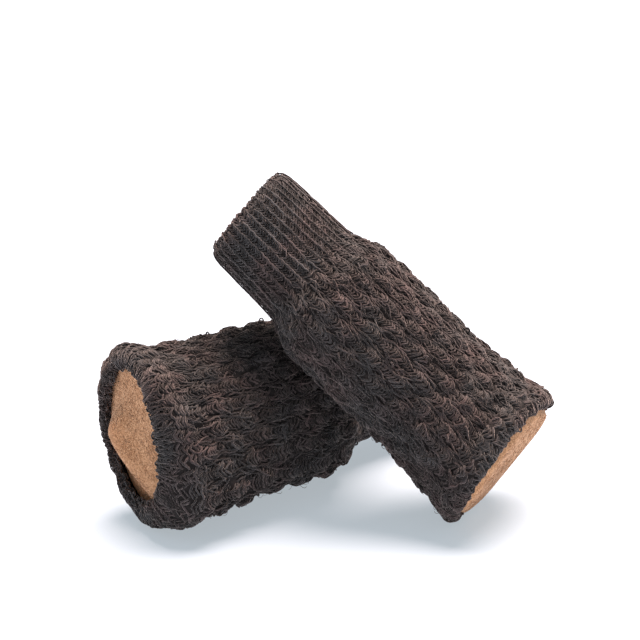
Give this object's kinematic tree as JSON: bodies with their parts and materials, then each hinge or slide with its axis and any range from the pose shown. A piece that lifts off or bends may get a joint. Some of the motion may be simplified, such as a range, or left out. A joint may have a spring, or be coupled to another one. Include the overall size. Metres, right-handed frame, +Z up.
{
  "type": "chair leg sock pair",
  "caption": "Knitted socks with felt soles and elastic cuffs that slip over chair legs, one lying down and one leaning on it.",
  "frame": {"origin": "bottom centre of the pair's bounding box, on the floor that both socks rest on", "axes": "+Z up; +X from the lying sock's felt end towards its cuff, level with the floor; +Y to its left"},
  "size_m": [0.1042, 0.0982, 0.0909],
  "materials": {
    "body_knit": "chunky relief knit, matt with a soft sheen",
    "cuff_knit": "fine-gauge knit, matt with a soft sheen",
    "rim_knit": "chunky knit, rolled",
    "sole_knit": "plain knit",
    "lining_knit": "plain knit, purl side in",
    "elastic": "covered elastic",
    "adhesive": "hot-melt film",
    "felt": "needled wool felt"
  },
  "bodies": {
    "lying_sock": {"lying_outer_sleeve": "body_knit", "lying_cuff_welt": "cuff_knit", "lying_rim_roll": "rim_knit", "lying_felt_pad": "felt", "lying_sole_knit": "sole_knit", "lying_adhesive_film": "adhesive", "lying_inner_liner": "lining_knit", "lying_cuff_elastic": "elastic"},
    "leaning_sock": {"leaning_outer_sleeve": "body_knit", "leaning_cuff_welt": "cuff_knit", "leaning_rim_roll": "rim_knit", "leaning_felt_pad": "felt", "leaning_sole_knit": "sole_knit", "leaning_adhesive_film": "adhesive", "leaning_inner_liner": "lining_knit", "leaning_cuff_elastic": "elastic"}
  },
  "joints": [
    {"name": "leaning_sock_lift", "type": "slide", "parent": "lying_sock", "child": "leaning_sock", "axis": [0, 0, 1], "range_m": [0, 0.08]}
  ]
}
